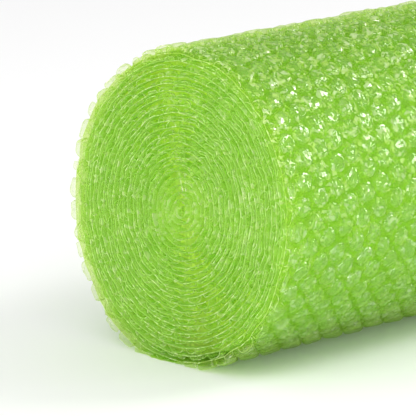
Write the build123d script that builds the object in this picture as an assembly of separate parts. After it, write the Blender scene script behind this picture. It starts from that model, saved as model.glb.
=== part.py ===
from build123d import *

import os
from math import asin, ceil, cos, hypot, pi, radians, sin, sqrt, tau

# Roll of bubble cushioning film: one long sheet, wound on itself with no core, lying on its side.
# The roll's axis runs along Y and +Z is up. The origin is on the floor, under the middle of the roll.
os.makedirs("parts", exist_ok=True)

# Driving dimensions, in millimetres
sheet_width = 300.0  # along the roll's axis
roll_diameter = 180.0  # over the outer bubbles
turn_pitch = 4.0  # from one turn of the sheet to the next
turn_groove_depth = 1.8  # how far the hollow between two turns goes in from their edges
bubble_diameter = 10.0
bubble_height = 4.2
bubble_spacing = 13.2  # centre to centre, with six neighbours round each bubble
flat_spot_width = 20.0  # where the roll's weight presses the sheet flat on the floor
end_lean = 12.6  # how far the top of each end stands back from its lowest point

# Angles in degrees, counts and shares
lattice_turn = 14.5  # from the roll's axis to the nearest row of bubbles
points_per_turn = 28
snap_share = 0.04  # of the bubble spacing: cells that reach an edge by less than this end on it
plain_turn_share = 0.75  # of the turn pitch: the least that is left plain outside the last hollow

# Sizes that follow from them
outer_radius = roll_diameter / 2
film_radius = outer_radius - bubble_height
half_flat = asin(flat_spot_width / 2 / film_radius)
axis_height = film_radius * cos(half_flat)
lean_slope = end_lean / roll_diameter
round_length = film_radius * (tau - 2 * half_flat)
half_width = sheet_width / 2
cell_radius = bubble_spacing / sqrt(3)
snap = snap_share * bubble_spacing
whole_turns = int(axis_height / turn_pitch - plain_turn_share)
lowest = -pi / 2  # the angle of the flat spot, and of both ends of the sheet


def place(radius, angle, along):
    """A point of the leaning roll, from its polar place about the axis. Angle 0 is +X, and +Z comes next."""
    rise = radius * sin(angle)
    return Vector(radius * cos(angle), along + lean_slope * rise, axis_height + rise)


def on_film(spot, height=0):
    """A point over the outer turn. The spot is its distance round from the flat spot, and along the axis."""
    around, along = spot
    return place(film_radius + height, lowest + half_flat + around / film_radius, along)


def flat_piece(*points):
    return Face(Wire.make_polygon(points, close=True))


# Outer turn: a tent for each bubble, over its own six-sided cell of the sheet
def settle(value, low, high):
    """Moves a value that is almost on a limit to that limit."""
    for limit in (low, high):
        if abs(value - limit) < snap:
            return limit
    return value


def trim(outline, axis, limit, side):
    """The part of an outline on one side of a straight limit. Side is 1 to keep what is above it, or -1."""
    kept = []
    for start, end in zip(outline, outline[1:] + outline[:1]):
        start_in = side * (start[axis] - limit)
        end_in = side * (end[axis] - limit)
        if start_in >= 0:
            kept.append(start)
        if start_in * end_in < 0:
            part = start_in / (start_in - end_in)
            crossing = [start[0] + part * (end[0] - start[0]), start[1] + part * (end[1] - start[1])]
            crossing[axis] = limit
            kept.append(tuple(crossing))
    return kept


def cell_outline(centre):
    """The six corners round a bubble, trimmed to the sheet and the flat spot."""
    corners = []
    for corner in range(6):
        turn = radians(lattice_turn + 30 + 60 * corner)
        around = settle(centre[0] + cell_radius * sin(turn), 0, round_length)
        along = settle(centre[1] + cell_radius * cos(turn), -half_width, half_width)
        corners.append((around, along))
    for axis, limit, side in ((0, 0, 1), (0, round_length, -1), (1, -half_width, 1), (1, half_width, -1)):
        corners = trim(corners, axis, limit, side)
    return corners


def is_whole(centre):
    """Whether a bubble lies clear of the sheet's edges and of the flat spot."""
    return 0 < centre[0] < round_length and half_width - abs(centre[1]) > bubble_diameter / 2


def blown_height(centre):
    """A bubble's height: the full one, or less where the floor squashes it."""
    drop = -sin(lowest + half_flat + centre[0] / film_radius)
    if drop * outer_radius <= axis_height:
        return bubble_height
    return axis_height / drop - film_radius


faces = []
edge_spots = set()
reach = ceil(hypot(round_length, sheet_width) / bubble_spacing)
row_turn = radians(lattice_turn)
slant_turn = radians(lattice_turn + 60)
for row in range(-reach, reach + 1):
    for step in range(-reach, reach + 1):
        bubble = (
            round_length / 2 + bubble_spacing * (row * sin(row_turn) + step * sin(slant_turn)),
            bubble_spacing * (row * cos(row_turn) + step * cos(slant_turn)),
        )
        outline = cell_outline(bubble)
        arounds = [spot[0] for spot in outline]
        alongs = [spot[1] for spot in outline]
        if not outline or min(max(arounds) - min(arounds), max(alongs) - min(alongs)) == 0:
            continue
        if is_whole(bubble):
            peak = on_film(bubble, blown_height(bubble))
        else:
            peak = on_film((sum(arounds) / len(outline), sum(alongs) / len(outline)))
        for start, end in zip(outline, outline[1:] + outline[:1]):
            if start != end:
                faces.append(flat_piece(on_film(start), on_film(end), peak))
        edge_spots.update(outline)


def edge_points(axis, limit):
    """The cells' corners on one edge of the outer turn, in order and each once."""
    ordered = sorted(spot for spot in edge_spots if spot[axis] == limit)
    points = []
    for spot in ordered:
        if not points or (on_film(spot) - points[-1]).length > snap / 2:
            points.append(on_film(spot))
    return points


# Flat spot: the strip of sheet that lies on the floor
faces.append(flat_piece(*edge_points(0, 0), *reversed(edge_points(0, round_length))))


# Ends: the sheet's edge spirals out from the middle, with a hollow between each turn and the next
for end in (-1, 1):

    def hollow(point):
        """The bottom of the hollow, on the spiral's line."""
        turns = point / points_per_turn
        return place(turn_pitch * turns, lowest + tau * turns, end * (half_width - turn_groove_depth))

    def crest(point):
        """The sheet's edge, halfway to the next turn of the hollow."""
        turns = point / points_per_turn
        return place(turn_pitch * (turns + 1 / 2), lowest + tau * turns, end * half_width)

    last = whole_turns * points_per_turn
    for point in range(last):
        ahead = point + 1
        faces.append(flat_piece(hollow(point), hollow(ahead), crest(point)))
        faces.append(flat_piece(crest(point), hollow(ahead), crest(ahead)))
        if ahead <= last - points_per_turn:
            outer = point + points_per_turn
            faces.append(flat_piece(crest(point), crest(ahead), hollow(outer)))
            faces.append(flat_piece(crest(ahead), hollow(outer + 1), hollow(outer)))
    first_turn = [hollow(point) for point in range(points_per_turn + 1)]
    faces.append(flat_piece(*first_turn))
    faces.append(flat_piece(hollow(0), crest(0), hollow(points_per_turn)))
    faces.append(flat_piece(crest(last - points_per_turn), crest(last), hollow(last)))
    rim = Wire.make_polygon(edge_points(1, end * half_width), close=True)
    last_crests = [crest(point) for point in range(last - points_per_turn, last + 1)]
    faces.append(Face(rim, [Wire.make_polygon(last_crests, close=True)]))

bubble_roll = Solid(Shell(faces))
export_step(bubble_roll, "parts/bubble_roll.step", write_pcurves=False)
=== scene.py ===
from functools import partial
from math import ceil, cos, pi, radians, sin

import bmesh
import bpy
from mathutils import Matrix, Vector


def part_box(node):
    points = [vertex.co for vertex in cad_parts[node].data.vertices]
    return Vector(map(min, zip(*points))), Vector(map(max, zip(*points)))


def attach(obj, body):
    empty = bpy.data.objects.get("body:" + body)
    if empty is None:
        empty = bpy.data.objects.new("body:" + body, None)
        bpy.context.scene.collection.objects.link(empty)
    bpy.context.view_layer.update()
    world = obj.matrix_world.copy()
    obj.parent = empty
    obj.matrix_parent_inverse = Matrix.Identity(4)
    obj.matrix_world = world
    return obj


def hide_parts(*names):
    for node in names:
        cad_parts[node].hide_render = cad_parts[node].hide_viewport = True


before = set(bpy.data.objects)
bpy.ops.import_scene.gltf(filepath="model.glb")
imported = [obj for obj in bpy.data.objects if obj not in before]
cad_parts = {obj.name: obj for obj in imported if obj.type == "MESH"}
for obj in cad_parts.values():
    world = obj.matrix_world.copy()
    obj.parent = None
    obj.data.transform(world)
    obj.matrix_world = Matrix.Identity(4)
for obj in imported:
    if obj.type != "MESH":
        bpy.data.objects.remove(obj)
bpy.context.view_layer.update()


# Winding: the sheet is wound on itself, with no core, from a tight first turn out to a tail under the roll.
# Every film below is made flat, as it leaves the machine, and this rule then winds it turn by turn. The edges
# sway from side to side as they are wound, and the roll's weight presses the outer turns flat on the floor.
low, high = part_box("bubble_roll")
outer_radius = (high.x - low.x) / 2
axis_height = high.z - outer_radius
bubble_height = 0.0042
film_radius = outer_radius - bubble_height
turn_pitch = 0.0040
turns = film_radius / turn_pitch + 1 / 2
lean_slope = 0.07
sideways_shift = turn_pitch / pi  # brings the middle of the outer turn back over the flat spot
press_softness = 0.0012
sway = 0.0016
sway_scale = 95.0
sway_roughness = 0.6
ripple = 0.0007
ripple_scale = 130.0
ripple_roughness = 0.5
wave_detail = 2.0
wave_gain = 4.0  # noise keeps mostly to a quarter either side of its middle


def add_node(tree, kind, inputs=(), **settings):
    """Adds a node. Its inputs come in order, as sockets to link or values to set. None leaves one be."""
    node = tree.nodes.new(kind)
    for name, value in settings.items():
        setattr(node, name, value)
    for socket, value in zip(node.inputs, inputs):
        if isinstance(value, bpy.types.NodeSocket):
            tree.links.new(value, socket)
        elif value is not None:
            socket.default_value = value
    return node


def calc(tree, operation, *values):
    return add_node(tree, "ShaderNodeMath", values, operation=operation).outputs[0]


def sums(tree):
    """The four plain sums, for one tree."""
    return [partial(calc, tree, operation) for operation in ("ADD", "SUBTRACT", "MULTIPLY", "DIVIDE")]


def point_at(tree, x, y, z):
    return add_node(tree, "ShaderNodeCombineXYZ", [x, y, z]).outputs[0]


def new_tree(name, kind, inputs, outputs):
    """A node group. Inputs are rows of name, type and value, and outputs are rows of name and type."""
    tree = bpy.data.node_groups.new(name, kind)
    for label, sort, value in inputs:
        socket = tree.interface.new_socket(label, in_out="INPUT", socket_type="NodeSocket" + sort)
        if value is not None:
            socket.default_value = value
    for label, sort in outputs:
        tree.interface.new_socket(label, in_out="OUTPUT", socket_type="NodeSocket" + sort)
    return tree, tree.nodes.new("NodeGroupInput").outputs, tree.nodes.new("NodeGroupOutput").inputs


winding, size, out = new_tree(
    "Wind the sheet",
    "GeometryNodeTree",
    [
        ("Along", "Float", 0.0),
        ("Across", "Float", 0.0),
        ("Height", "Float", 0.0),
        ("Turns", "Float", turns),
        ("Turn Pitch", "Float", turn_pitch),
        ("Axis Height", "Float", axis_height),
        ("Sideways Shift", "Float", sideways_shift),
        ("Lean", "Float", lean_slope),
        ("Press Softness", "Float", press_softness),
        ("Sway", "Float", sway),
        ("Ripple", "Float", ripple),
    ],
    [("Position", "Vector")],
)
plus, minus, times, over = sums(winding)


def wave(spot, scale, roughness, reach):
    """Noise that goes about so far to either side of nothing."""
    noise = add_node(winding, "ShaderNodeTexNoise", [spot, None, scale, wave_detail, roughness]).outputs[0]
    return times(minus(noise, 0.5), times(reach, wave_gain))


# The turn that the film is on falls with the length that is spent, as in any spiral of even pitch
spent = over(over(size["Along"], size["Turn Pitch"]), pi)
squared = minus(times(size["Turns"], size["Turns"]), spent)
turn = calc(winding, "SQRT", calc(winding, "MAXIMUM", squared, 0.0))
angle = times(minus(turn, size["Turns"]), 2 * pi)
film_at = times(turn, size["Turn Pitch"])
sine = calc(winding, "SINE", angle)
cosine = calc(winding, "COSINE", angle)
on_turn = [times(film_at, sine), times(film_at, cosine)]
swayed = wave(point_at(winding, on_turn[0], 0.0, on_turn[1]), sway_scale, sway_roughness, size["Sway"])
rippled = wave(
    point_at(winding, on_turn[0], size["Across"], on_turn[1]), ripple_scale, ripple_roughness, size["Ripple"]
)
radius = plus(plus(film_at, size["Height"]), rippled)
rise = times(times(radius, cosine), -1.0)

# Nothing goes below the floor, and the bend into the flat spot is soft
above = plus(rise, size["Axis Height"])
softness = times(size["Press Softness"], size["Press Softness"])
bent = calc(winding, "SQRT", plus(times(above, above), softness))
pressed = times(plus(above, bent), 0.5)
aside = plus(times(radius, sine), size["Sideways Shift"])
leaning = plus(times(rise, size["Lean"]), size["Across"])
winding.links.new(point_at(winding, aside, plus(leaning, swayed), pressed), out["Position"])


# Sheet: a formed film with rows of blown bubbles, welded to a flat backing film. Both are thin lime-green
# polyethylene. The bubbles sit in a lattice with six neighbours each, turned a little from the roll's axis,
# and face outwards. No two are blown alike: a slack one is lower, with a dent in its top.
sheet_width = 0.300
half_width = sheet_width / 2
bubble_spacing = 0.0132
bubble_diameter = 0.0118
film_thickness = 0.00042
lattice_turn = radians(14.5)
column_step = (sin(lattice_turn + pi / 3) * bubble_spacing, -cos(lattice_turn + pi / 3) * bubble_spacing)
row_step = (-sin(lattice_turn) * bubble_spacing, cos(lattice_turn) * bubble_spacing)
lattice_rows = 31
cell_segments = 12
dome_rings = 5
dome_squareness = 0.55
least_fill = 0.85
dent_share = 1.3
dent_sharpness = 6.0
crease = 0.0016
crease_scale = 420.0
crease_detail = 1.0
crease_spread = (1.0, 1.0, 0.15)  # mostly along and across the film, less in and out of it
slump = 0.0010
slump_scale = 90.0
slack_climb = 2.0  # creases have their full depth from halfway up a bubble
weld_gap = 0.00012
backing_weld_gap = film_thickness / 4


def along_at(turns_in):
    """How far back from the tail the sheet has gone after a number of turns."""
    return pi * turn_pitch * (turns**2 - (turns - turns_in) ** 2)


lattice_start = along_at(1 / 2)  # a bubble lies on the top of the roll


def spent_after(tree, size, turned):
    """The same as along_at, as nodes of a tree."""
    left = calc(tree, "SUBTRACT", size["Turns"], turned)
    all_turns = calc(tree, "MULTIPLY", size["Turns"], size["Turns"])
    gone = calc(tree, "SUBTRACT", all_turns, calc(tree, "MULTIPLY", left, left))
    return calc(tree, "MULTIPLY", calc(tree, "MULTIPLY", gone, size["Turn Pitch"]), pi)


def place_here(tree):
    return add_node(tree, "GeometryNodeInputPosition").outputs[0]


def parts_of(tree, vector):
    return add_node(tree, "ShaderNodeSeparateXYZ", [vector]).outputs


def vector_calc(tree, operation, *values):
    return add_node(tree, "ShaderNodeVectorMath", values, operation=operation).outputs[0]


def scaled(tree, vector, factor):
    return vector_calc(tree, "SCALE", vector, None, None, factor)


def centred(tree, colour):
    """A random colour as a vector that points any way."""
    return vector_calc(tree, "SUBTRACT", colour, (0.5, 0.5, 0.5))


def put(tree, mesh, place, offset=None):
    return add_node(tree, "GeometryNodeSetPosition", [mesh, None, place, offset]).outputs[0]


def mark(tree, mesh, name, value, data_type, domain):
    inputs = [mesh, None, name, value]
    kind = "GeometryNodeStoreNamedAttribute"
    return add_node(tree, kind, inputs, data_type=data_type, domain=domain).outputs[0]


def weld(tree, mesh, gap):
    return add_node(tree, "GeometryNodeMergeByDistance", [mesh, None, gap]).outputs[0]


def join(tree, *meshes):
    node = add_node(tree, "GeometryNodeJoinGeometry")
    for mesh in meshes:
        tree.links.new(mesh, node.inputs[0])
    return node.outputs[0]


sheet, size, out = new_tree(
    "Stretch of wound sheet",
    "GeometryNodeTree",
    [
        ("First Turn", "Float", 0.0),
        ("Last Turn", "Float", 1.0),
        ("Low Edge", "Float", -half_width),
        ("High Edge", "Float", half_width),
        ("Points Along", "Int", 3),
        ("Points Across", "Int", 3),
        ("Middle Column", "Float", 0.0),
        ("Columns", "Int", 3),
        ("Rows", "Int", lattice_rows),
        ("First Bubble", "Float", 0.0),
        ("Last Bubble", "Float", 1.0),
        ("Low Bubble", "Float", -half_width),
        ("High Bubble", "Float", half_width),
        ("Spacing", "Float", bubble_spacing),
        ("Bubble Radius", "Float", bubble_diameter / 2),
        ("Bubble Height", "Float", bubble_height),
        ("Dome Rings", "Int", dome_rings),
        ("Squareness", "Float", dome_squareness),
        ("Least Fill", "Float", least_fill),
        ("Crease", "Float", crease),
        ("Slump", "Float", slump),
        ("Film Thickness", "Float", film_thickness),
        ("Turns", "Float", turns),
        ("Turn Pitch", "Float", turn_pitch),
        ("Seed", "Int", 1),
    ],
    [("Geometry", "Geometry")],
)
plus, minus, times, over = sums(sheet)


def spread_over(share, least, most):
    """From the least to the most, as a unit grid goes from one side to the other."""
    return calc(sheet, "MULTIPLY_ADD", plus(share, 0.5), minus(most, least), least)


def both_true(first, second):
    return add_node(sheet, "FunctionNodeBooleanMath", [first, second], operation="AND").outputs[0]


def between(value, least, most):
    return both_true(
        add_node(sheet, "FunctionNodeCompare", [value, least], operation="GREATER_THAN").outputs[0],
        add_node(sheet, "FunctionNodeCompare", [value, most], operation="LESS_THAN").outputs[0],
    )


# Backing film: a long flat slab, with the cut edges marked
flat_points = [size["Points Along"], size["Points Across"]]
flat = add_node(sheet, "GeometryNodeMeshGrid", [1.0, 1.0, *flat_points]).outputs[0]
share = parts_of(sheet, place_here(sheet))
along = spent_after(sheet, size, spread_over(share[0], size["First Turn"], size["Last Turn"]))
across = spread_over(share[1], size["Low Edge"], size["High Edge"])
under = put(sheet, flat, point_at(sheet, along, across, times(size["Film Thickness"], -1.0)))
thick = point_at(sheet, 0.0, 0.0, size["Film Thickness"])
slab = add_node(sheet, "GeometryNodeExtrudeMesh", [under, None, thick, 1.0, False], mode="FACES").outputs
edged = mark(sheet, slab["Mesh"], "cut_edge", slab["Side"], "BOOLEAN", "FACE")
turned_over = add_node(sheet, "GeometryNodeFlipFaces", [under]).outputs[0]
backing = weld(sheet, join(sheet, turned_over, edged), backing_weld_gap)

# Formed film: one six-sided cell with its bubble, shaped from the rings of a cone
bands = plus(size["Dome Rings"], 1.0)
cone_size = [cell_segments, bands, 1, 0.0, 1.0, 1.0]
cone = add_node(sheet, "GeometryNodeMeshCone", cone_size, fill_type="NONE").outputs[0]
point = parts_of(sheet, place_here(sheet))
ring = calc(sheet, "ROUND", times(point[2], bands))
climb = over(calc(sheet, "MAXIMUM", minus(ring, 1.0), 0.0), size["Dome Rings"])
climb = times(climb, pi / 2)
dome_reach = calc(sheet, "POWER", calc(sheet, "COSINE", climb), size["Squareness"])
dome_reach = times(dome_reach, size["Bubble Radius"])
dome_lift = calc(sheet, "POWER", calc(sheet, "SINE", climb), size["Squareness"])
bearing = calc(sheet, "ARCTAN2", point[1], point[0])
folded = minus(calc(sheet, "FLOORED_MODULO", plus(bearing, pi / 6), pi / 3), pi / 6)
cell_reach = over(times(size["Spacing"], 0.5), calc(sheet, "COSINE", folded))
is_border = calc(sheet, "LESS_THAN", ring, 0.5)
is_tip = calc(sheet, "GREATER_THAN", ring, plus(size["Dome Rings"], 0.5))
reach = plus(times(cell_reach, is_border), times(dome_reach, minus(1.0, is_border)))
reach = times(reach, minus(1.0, is_tip))
shaped = point_at(
    sheet,
    times(calc(sheet, "COSINE", bearing), reach),
    times(calc(sheet, "SINE", bearing), reach),
    times(dome_lift, size["Bubble Height"]),
)
cell = put(sheet, cone, shaped)

# Lattice: a copy of the cell for each bubble, each with its own fill of air
lattice_size = [minus(size["Columns"], 1.0), minus(size["Rows"], 1.0)]
lattice = add_node(sheet, "GeometryNodeMeshGrid", lattice_size + [size["Columns"], size["Rows"]]).outputs[0]
index = parts_of(sheet, place_here(sheet))
column = calc(sheet, "ROUND", plus(index[0], size["Middle Column"]))
drift = calc(sheet, "ROUND", times(column, -column_step[1] / row_step[1]))
row = calc(sheet, "ROUND", plus(index[1], drift))
bubble_along = plus(
    calc(sheet, "MULTIPLY_ADD", column, column_step[0], lattice_start), times(row, row_step[0])
)
bubble_across = plus(times(column, column_step[1]), times(row, row_step[1]))
spread = put(sheet, lattice, point_at(sheet, bubble_along, bubble_across, 0.0))
centre = parts_of(sheet, place_here(sheet))
kept = both_true(
    between(centre[0], size["First Bubble"], size["Last Bubble"]),
    between(centre[1], size["Low Bubble"], size["High Bubble"]),
)
fill = add_node(sheet, "FunctionNodeRandomValue", [None, None, size["Least Fill"], 1.0], data_type="FLOAT")
sheet.links.new(size["Seed"], fill.inputs["Seed"])
filled = mark(sheet, spread, "fill", fill.outputs[1], "FLOAT", "POINT")
turn_cell = point_at(sheet, 0.0, 0.0, lattice_turn + pi / 2)
copies = add_node(sheet, "GeometryNodeInstanceOnPoints", [filled, kept, cell]).outputs[0]
copies = add_node(sheet, "GeometryNodeRotateInstances", [copies, None, turn_cell]).outputs[0]
formed = add_node(sheet, "GeometryNodeRealizeInstances", [copies]).outputs[0]

# Slack: a bubble's height and dent follow its fill, and creases and slumps shift its upper half
spot = place_here(sheet)
corner = parts_of(sheet, spot)
fill_of = add_node(sheet, "GeometryNodeInputNamedAttribute", ["fill"], data_type="FLOAT").outputs[0]
lift = over(corner[2], size["Bubble Height"])
dent = times(minus(1.0, fill_of), dent_share)
dented = minus(1.0, times(dent, calc(sheet, "POWER", lift, dent_sharpness)))
blown = point_at(sheet, corner[0], corner[1], times(corner[2], times(fill_of, dented)))
near_top = calc(sheet, "MINIMUM", times(lift, slack_climb), 1.0)
creased = add_node(sheet, "ShaderNodeTexNoise", [spot, None, crease_scale, crease_detail]).outputs["Color"]
creased = vector_calc(sheet, "MULTIPLY", centred(sheet, creased), crease_spread)
creased = scaled(sheet, creased, times(near_top, size["Crease"]))
slumped = add_node(sheet, "ShaderNodeTexNoise", [spot, None, slump_scale, 0.0]).outputs[0]
slumped = times(minus(slumped, 0.5), times(size["Slump"], near_top))
slack = vector_calc(sheet, "ADD", creased, point_at(sheet, 0.0, 0.0, slumped))
formed = mark(sheet, formed, "lift", lift, "FLOAT", "POINT")
formed = weld(sheet, put(sheet, formed, blown, slack), weld_gap)
sheet.links.new(join(sheet, formed, backing), out["Geometry"])

roll_up, size, out = new_tree(
    "Roll up",
    "GeometryNodeTree",
    [("Geometry", "Geometry", None), ("Material", "Material", None)],
    [("Geometry", "Geometry")],
)


def wind(tree, mesh, flat_place, film):
    """Winds a flat mesh and gives it its film. The flat place is along, across and off the sheet."""
    wound = add_node(tree, "GeometryNodeGroup", flat_place, node_tree=winding).outputs[0]
    smooth = add_node(tree, "GeometryNodeSetShadeSmooth", [put(tree, mesh, wound)]).outputs[0]
    whole = add_node(tree, "GeometryNodeRealizeInstances", [smooth]).outputs[0]
    return add_node(tree, "GeometryNodeSetMaterial", [whole, None, film]).outputs[0]


rolled = wind(roll_up, size["Geometry"], parts_of(roll_up, place_here(roll_up)), size["Material"])
roll_up.links.new(rolled, out["Geometry"])


# Film: blown polyethylene, tinted lime green, thin enough to see through and glossy over the bubbles.
# Handling crumples it into small facets that tilt its gloss; some are painted near white as painted highlights,
# more so high on the roll, and its cut edges, seen end on, are painted pale with painted glints.
# It is clear head on and deeper in colour at a slant. Every film of the roll shares the mottle.
# painted highlight: this near-white lime is mixed into the film's colour on the crumpled facets and the cut
# edges, for light they catch
painted_highlight_lime = (0.90, 0.97, 0.60, 1)
through_head_on = (0.93, 0.98, 0.78, 1)
through_slant = (0.79, 0.92, 0.50, 1)
crinkle_detail = 1.0
facet_least, facet_full = 0.73, 0.96
# painted highlight: how far the crumpled facets are painted toward near white
facet_painted_highlight = 0.95
glow_share = 0.5
glint_sharpness = 2.5
# painted highlight: the cut edges are painted pale, with painted glints along them, and hide more where a glint
# is painted
edge_painted_pale, edge_painted_glint = 0.12, 0.9
edge_cover, edge_cover_glint = 0.5, 0.45
core_reach, loose_reach = 0.004, 0.045
core_edge_share = 0.35  # the cut edges, with their painted paleness and glints, are fainter near the axis
# painted highlight: heights over which the facets' painted white grows from faint to full
painted_highlight_low, painted_highlight_high = 0.07, 0.165
low_painted_highlight_share = 0.4  # painted highlights on the facets are fainter low on the roll and full high up, where the light falls
weld_roughness, dome_roughness = 0.4, 0.06
round_lift = 0.8
weld_gloss, dome_gloss = 0.2, 0.8
plain_polish, facet_polish = 0.4, 0.6
slant_gloss, slant_sharpness = 0.2, 5.0
slant_depth = 2.0
bpy.context.scene.cycles.transparent_max_bounces = 24  # a line of sight crosses many films


def fade(tree, value, start, end, first, last):
    """From the first to the last, as the value goes from the start to the end."""
    return add_node(tree, "ShaderNodeMapRange", [value, start, end, first, last]).outputs[0]


mottle, size, out = new_tree(
    "Film mottle",
    "ShaderNodeTree",
    [
        ("Position", "Vector", None),
        ("Normal", "Vector", None),
        ("Crinkle Scale", "Float", 150.0),
        ("Facet Scale", "Float", 500.0),
        ("Warp", "Float", 0.008),
        ("Tilt", "Float", 0.36),
    ],
    [("Facets", "Float"), ("Glints", "Float"), ("Normal", "Vector")],
)
crinkle_size = [size["Position"], None, size["Crinkle Scale"], crinkle_detail]
crinkle = add_node(mottle, "ShaderNodeTexNoise", crinkle_size).outputs["Color"]
warp = scaled(mottle, centred(mottle, crinkle), size["Warp"])
warped = vector_calc(mottle, "ADD", size["Position"], warp)
snapped = vector_calc(mottle, "FLOOR", scaled(mottle, warped, size["Facet Scale"]))
chance = add_node(mottle, "ShaderNodeTexWhiteNoise", [snapped], noise_dimensions="3D").outputs
facets = fade(mottle, chance["Value"], facet_least, facet_full, 0.0, 1.0)
tilt = scaled(mottle, centred(mottle, chance["Color"]), size["Tilt"])
tilted = vector_calc(mottle, "NORMALIZE", vector_calc(mottle, "ADD", size["Normal"], tilt))
mottle.links.new(facets, out["Facets"])
# a random value for each facet, which sets where painted glints fall on the cut edges
mottle.links.new(chance["Value"], out["Glints"])
mottle.links.new(tilted, out["Normal"])


def mix_colours(tree, share, first, second):
    unused = [None] * 5
    return add_node(tree, "ShaderNodeMix", [share, *unused, first, second], data_type="RGBA").outputs[2]


def attribute(tree, name):
    return add_node(tree, "ShaderNodeAttribute", attribute_name=name).outputs["Fac"]


def film_material(name, tint, head_on_cover, slant_cover, head_on_gloss, painted_highlight_cover):
    """A film. The covers say how much it hides, and the gloss how much it mirrors where it faces the eye."""
    material = bpy.data.materials.new(name)
    material.use_nodes = True
    tree = material.node_tree
    tree.nodes.clear()
    times = partial(calc, tree, "MULTIPLY")
    position = add_node(tree, "ShaderNodeTexCoord").outputs["Object"]
    normal = add_node(tree, "ShaderNodeNewGeometry").outputs["Normal"]
    marks = add_node(tree, "ShaderNodeGroup", [position, normal], node_tree=mottle).outputs
    # the crumpled facets tilt the gloss and also carry painted highlights
    crumple_and_painted_highlight = marks["Facets"]
    lift = attribute(tree, "lift")

    from_axis = vector_calc(tree, "SUBTRACT", position, (0, 0, axis_height))
    from_axis = vector_calc(tree, "MULTIPLY", from_axis, (1, 0, 1))
    from_axis = add_node(tree, "ShaderNodeVectorMath", [from_axis], operation="LENGTH").outputs["Value"]
    # the cut edges and their painted paleness and glints fade toward the axis
    loose = fade(tree, from_axis, core_reach, loose_reach, core_edge_share, 1.0)
    edge = times(attribute(tree, "cut_edge"), loose)
    glint = calc(tree, "POWER", marks["Glints"], glint_sharpness)

    # painted highlight: the cut edges are painted pale, with painted glints
    bright_edge = times(edge, calc(tree, "MULTIPLY_ADD", glint, edge_painted_glint, edge_painted_pale))
    # painted highlight: the crumpled facets are painted near white, and so are the painted edges
    white = calc(tree, "MAXIMUM", bright_edge, times(crumple_and_painted_highlight, facet_painted_highlight))
    colour = mix_colours(tree, white, tint, painted_highlight_lime)
    skin = add_node(tree, "ShaderNodeBsdfDiffuse", [colour]).outputs[0]
    glow = add_node(tree, "ShaderNodeBsdfTranslucent", [colour]).outputs[0]
    body = add_node(tree, "ShaderNodeMixShader", [glow_share, skin, glow]).outputs[0]

    facing = add_node(tree, "ShaderNodeLayerWeight").outputs["Facing"]
    slant = calc(tree, "POWER", facing, slant_depth)
    through = mix_colours(tree, slant, through_head_on, through_slant)
    clear = add_node(tree, "ShaderNodeBsdfTransparent", [through]).outputs[0]
    cover = fade(tree, slant, 0.0, 1.0, head_on_cover, slant_cover)
    # the painted edges hide more of the film where a glint is painted
    cut_cover = times(edge, calc(tree, "MULTIPLY_ADD", glint, edge_cover_glint, edge_cover))
    height = parts_of(tree, position)["Z"]
    # painted highlight: the facets' painted white hides more of the film high on the roll than low, where less
    # light falls
    creased = fade(tree, height, painted_highlight_low, painted_highlight_high, low_painted_highlight_share * painted_highlight_cover, painted_highlight_cover)
    cover = calc(tree, "MAXIMUM", calc(tree, "MAXIMUM", cover, cut_cover), times(crumple_and_painted_highlight, creased))
    film = add_node(tree, "ShaderNodeMixShader", [cover, clear, body]).outputs[0]

    roughness = fade(tree, lift, 0.0, round_lift, weld_roughness, dome_roughness)
    shine = add_node(tree, "ShaderNodeBsdfGlossy", [(1, 1, 1, 1), roughness])
    tree.links.new(marks["Normal"], shine.inputs["Normal"])
    glancing = add_node(tree, "ShaderNodeLayerWeight", [None, marks["Normal"]]).outputs["Facing"]
    polish = times(calc(tree, "MULTIPLY_ADD", crumple_and_painted_highlight, facet_polish, plain_polish), head_on_gloss)
    gloss = calc(tree, "MULTIPLY_ADD", calc(tree, "POWER", glancing, slant_sharpness), slant_gloss, polish)
    gloss = times(gloss, calc(tree, "MULTIPLY_ADD", lift, dome_gloss, weld_gloss))
    surface = add_node(tree, "ShaderNodeMixShader", [gloss, film, shine.outputs[0]]).outputs[0]
    add_node(tree, "ShaderNodeOutputMaterial", [surface])
    return material


# Outer turn: the last stretch of sheet to be wound, which covers the roll from edge to edge.
# Its bubbles stand at their full height with nothing over them. It is held by its own cling,
# and its loose end is under the roll.
film_tint = (0.60, 0.79, 0.13, 1)
spare_columns = 5
points_per_turn = 72
points_gap = 0.010  # across the backing film
lip_width = 0.00025
least_lip_height = 0.0003
cut_tolerance = 1e-6
on_cut = 1e-5
same_place_digits = 7


def slit(mesh):
    """Cuts the formed film along the sheet's two edges. Each cut bubble gets a lip that shows its film."""
    work = bmesh.new()
    work.from_mesh(mesh)
    marks = work.faces.layers.bool["cut_edge"]
    for side in (-1, 1):
        cut = side * half_width
        bmesh.ops.bisect_plane(
            work,
            geom=work.verts[:] + work.edges[:] + work.faces[:],
            dist=cut_tolerance,
            plane_co=(0, cut, 0),
            plane_no=(0, side, 0),
            clear_outer=True,
        )
        rim = [
            edge
            for edge in work.edges
            if edge.is_boundary
            and all(abs(corner.co.y - cut) < on_cut for corner in edge.verts)
            and max(corner.co.z for corner in edge.verts) > least_lip_height
        ]
        work.normal_update()
        normals = {corner: corner.normal.copy() for edge in rim for corner in edge.verts}
        before = {corner.co.to_tuple(same_place_digits): corner for corner in normals}
        lip = bmesh.ops.extrude_edge_only(work, edges=rim)["geom"]
        for item in lip:
            if isinstance(item, bmesh.types.BMVert):
                normal = normals[before[item.co.to_tuple(same_place_digits)]]
                item.co -= Vector((normal.x, 0, normal.z)).normalized() * lip_width
            elif isinstance(item, bmesh.types.BMFace):
                item[marks] = True
    work.to_mesh(mesh)
    work.free()


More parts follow.
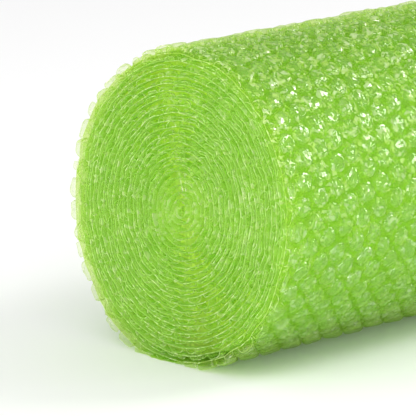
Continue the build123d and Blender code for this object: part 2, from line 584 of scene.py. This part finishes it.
def grow(name, tree, values, mesh=None):
    """Runs a node tree, on a mesh if one is given, and keeps the result as a plain mesh."""
    piece = bpy.data.objects.new(name, mesh or bpy.data.meshes.new(name))
    bpy.context.scene.collection.objects.link(piece)
    modifier = piece.modifiers.new("Grow", "NODES")
    modifier.node_group = tree
    for item in tree.interface.items_tree:
        if item.name in values:
            modifier[item.identifier] = values[item.name]
    seen = piece.evaluated_get(bpy.context.evaluated_depsgraph_get())
    grown = bpy.data.meshes.new_from_object(seen)
    piece.modifiers.remove(modifier)
    piece.data = grown
    grown.name = name
    return piece


def wind_stretch(name, first_turn, last_turn, low_edge, high_edge, film, values):
    """A stretch of the sheet, from one turn to another and from one edge to another."""
    first, last = along_at(first_turn), along_at(last_turn)
    settings = {
        "First Turn": first_turn,
        "Last Turn": last_turn,
        "Low Edge": low_edge,
        "High Edge": high_edge,
        "Points Along": ceil((last_turn - first_turn) * points_per_turn) + 1,
        "Points Across": max(3, ceil((high_edge - low_edge) / points_gap) + 1),
        "Middle Column": float(round(((first + last) / 2 - lattice_start) / column_step[0])),
        "Columns": 2 * ceil((last - first) / 2 / column_step[0] + spare_columns) + 1,
        "First Bubble": first,
        "Last Bubble": last,
        "Low Bubble": low_edge - bubble_spacing if low_edge <= -half_width else low_edge,
        "High Bubble": high_edge + bubble_spacing if high_edge >= half_width else high_edge,
    }
    settings.update(values)
    laid_out = grow(name + "_flat", sheet, settings)
    slit(laid_out.data)
    piece = grow(name, roll_up, {"Material": film}, laid_out.data)
    bpy.data.objects.remove(laid_out)
    return piece


def ride_as_film(piece):
    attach(piece, "root")
    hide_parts("bubble_roll")


# each film's last cover is how much the painted highlights on its crumpled facets hide of it
outer_film = film_material(
    "outer film", film_tint, head_on_cover=0.1, slant_cover=0.18, head_on_gloss=0.125, painted_highlight_cover=0.6
)
outer_turn = wind_stretch("outer_turn", 0.0, 1.0, -half_width, half_width, outer_film, {"Seed": 3})
ride_as_film(outer_turn)


# Second turn: the stretch under the outer turn, of the same film, which shows through it.
# The turn above presses on its bubbles, so they are lower, rounder and less full.
# Film on film adds up, so it looks deeper in colour and hides more.
end_tint = (0.57, 0.81, 0.21, 1)
second_film = film_material(
    "second film", end_tint, head_on_cover=0.25, slant_cover=0.4, head_on_gloss=0.03, painted_highlight_cover=0.5
)
pressed_bubbles = {"Bubble Height": 0.0036, "Squareness": 0.85, "Least Fill": 0.6}
second_turn = wind_stretch(
    "second_turn", 1.0, 2.0, -half_width, half_width, second_film, {"Seed": 5, **pressed_bubbles}
)
ride_as_film(second_turn)


# Ends: every other turn, as far in from the sheet's edges as can be seen. Knives slit the sheet to width
# before it is wound, so bubbles on the line are cut open, and the film's edges show as a spiral.
# The first turns are wound too tight to keep their bubbles.
end_film = film_material(
    "end film", end_tint, head_on_cover=0.3, slant_cover=0.5, head_on_gloss=0.05, painted_highlight_cover=0.4
)
end_band = 0.024
middle_turns = 0.5  # left out, where the spiral closes on the axis
bubble_free_turns = 2.2
end_dome_rings = 4
for name, low_edge, high_edge, seed in (
    ("front_turns", -half_width, end_band - half_width, 7),
    ("back_turns", half_width - end_band, half_width, 11),
):
    end_bubbles = {
        "Seed": seed,
        "Dome Rings": end_dome_rings,
        "Last Bubble": along_at(turns - bubble_free_turns),
        **pressed_bubbles,
    }
    piece = wind_stretch(name, 2.0, turns - middle_turns, low_edge, high_edge, end_film, end_bubbles)
    ride_as_film(piece)


# Inner turns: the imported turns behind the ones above, too many and too close to tell apart. They are film and
# air, which let light wander through them, so they are one drum with a glow under its skin. It winds with the
# same rule, and stops a little short of the sheet's edges.
lime = (0.43, 0.63, 0.085, 1)
end_recess = 0.00575
drum_points, drum_bands, end_rings = 120, 24, 8
core, size, out = new_tree(
    "Inner turns",
    "GeometryNodeTree",
    [
        ("First Turn", "Float", 1.0),
        ("Length", "Float", sheet_width - 2 * end_recess),
        ("Turns", "Float", turns),
        ("Turn Pitch", "Float", turn_pitch),
        ("Film Thickness", "Float", film_thickness),
        ("Material", "Material", None),
    ],
    [("Geometry", "Geometry")],
)
plus, minus, times, over = sums(core)
drum_size = [drum_points, drum_bands, end_rings, 1.0, size["Length"]]
drum = add_node(core, "GeometryNodeMeshCylinder", drum_size, fill_type="NGON").outputs[0]
spot = parts_of(core, place_here(core))
bearing = calc(core, "FLOORED_MODULO", calc(core, "ARCTAN2", spot[1], spot[0]), 2 * pi)
turned = plus(over(bearing, 2 * pi), size["First Turn"])
share = calc(core, "SQRT", plus(times(spot[0], spot[0]), times(spot[1], spot[1])))
depth = times(times(minus(size["Turns"], turned), size["Turn Pitch"]), minus(share, 1.0))
flat_place = [spent_after(core, size, turned), spot[2], minus(depth, size["Film Thickness"])]
core.links.new(wind(core, drum, flat_place, size["Material"]), out["Geometry"])

inner_film = bpy.data.materials.new("inner film")
inner_film.use_nodes = True
tree = inner_film.node_tree
position = add_node(tree, "ShaderNodeTexCoord").outputs["Object"]
marks = add_node(tree, "ShaderNodeGroup", [position], node_tree=mottle).outputs
packed = tree.nodes["Principled BSDF"].inputs
tree.links.new(mix_colours(tree, marks["Facets"], lime, film_tint), packed["Base Color"])
packed["Roughness"].default_value = 0.7
packed["Specular IOR Level"].default_value = 0.1
packed["Subsurface Weight"].default_value = 1.0
packed["Subsurface Radius"].default_value = (1.0, 1.0, 0.4)
packed["Subsurface Scale"].default_value = 0.18
inner_turns = grow("inner_turns", core, {"Material": inner_film})
ride_as_film(inner_turns)


# Studio: a sheet of matt white paper under the roll, in an evenly lit white room.
# Five soft lamps stand round it. The key is high behind on the right and makes the highlights along the top,
# and the others lift the end, the side and the bubbles halfway down.
floor_reach = 6.0
floor_mesh = bpy.data.meshes.new("floor")
corners = [(-1, -1), (1, -1), (1, 1), (-1, 1)]
floor_mesh.from_pydata([(floor_reach * x, floor_reach * y, 0) for x, y in corners], [], [(0, 1, 2, 3)])
floor = bpy.data.objects.new("floor", floor_mesh)
bpy.context.scene.collection.objects.link(floor)
paper = bpy.data.materials.new("white paper")
paper.use_nodes = True
paper.node_tree.nodes["Principled BSDF"].inputs["Base Color"].default_value = (0.97, 0.97, 0.97, 1)
paper.node_tree.nodes["Principled BSDF"].inputs["Roughness"].default_value = 0.9
floor_mesh.materials.append(paper)

room = bpy.data.worlds.new("studio")
bpy.context.scene.world = room
room.use_nodes = True
room.node_tree.nodes["Background"].inputs["Color"].default_value = (1, 1, 1, 1)
room.node_tree.nodes["Background"].inputs["Strength"].default_value = 0.782

# Each lamp: place, width, height and watts. All face the middle of the roll
lamps = {
    "key": ((0.67, 1.09, 1.14), 0.55, 0.55, 10),
    "left fill": ((-0.8, -1.4, 0.32), 1.2, 0.5, 10.2),
    "front light": ((0.35, -1.05, 1.35), 0.45, 0.45, 2.2),
    "right fill": ((1.3, -0.9, 0.15), 1.6, 0.28, 10),
    "rim light": ((1.25, 1.10, 0.42), 0.26, 0.26, 3),
}
middle = Vector((0, 0, axis_height))
for name, (place, width, height, watts) in lamps.items():
    lamp = bpy.data.lights.new(name, "AREA")
    lamp.shape = "RECTANGLE"
    lamp.size, lamp.size_y, lamp.energy = width, height, watts
    holder = bpy.data.objects.new(name, lamp)
    bpy.context.scene.collection.objects.link(holder)
    holder.location = place
    holder.rotation_euler = (middle - Vector(place)).to_track_quat("-Z", "Y").to_euler()


# Camera: a long lens, in front of the roll's near end, to its right and a little above.
# Its angles, its length and its place come from the outlines of the end and the side in the picture.
# The place is in roll radii from the middle of the near end.
view_turn, view_tilt = radians(47.39), radians(13.86)
focal_pixels, image_pixels, sensor = 4018, 416, 36
radii_right, radii_up, radii_back = 0.18306, 0.01433, 24.3888
far_limit = 100
right = Vector((cos(view_turn), sin(view_turn), 0))
back = Vector((sin(view_turn) * cos(view_tilt), -cos(view_turn) * cos(view_tilt), sin(view_tilt)))
up = back.cross(right)
end_centre = Vector((0, -half_width, axis_height))
camera = bpy.data.cameras.new("camera")
camera.sensor_width = sensor
camera.lens = focal_pixels / image_pixels * sensor
camera.clip_end = far_limit
viewer = bpy.data.objects.new("camera", camera)
bpy.context.scene.collection.objects.link(viewer)
stand = end_centre + outer_radius * (radii_right * right + radii_up * up + radii_back * back)
viewer.matrix_world = Matrix.Translation(stand) @ Matrix((right, up, back)).transposed().to_4x4()
bpy.context.scene.camera = viewer

bpy.context.scene.view_settings.view_transform = "Standard"
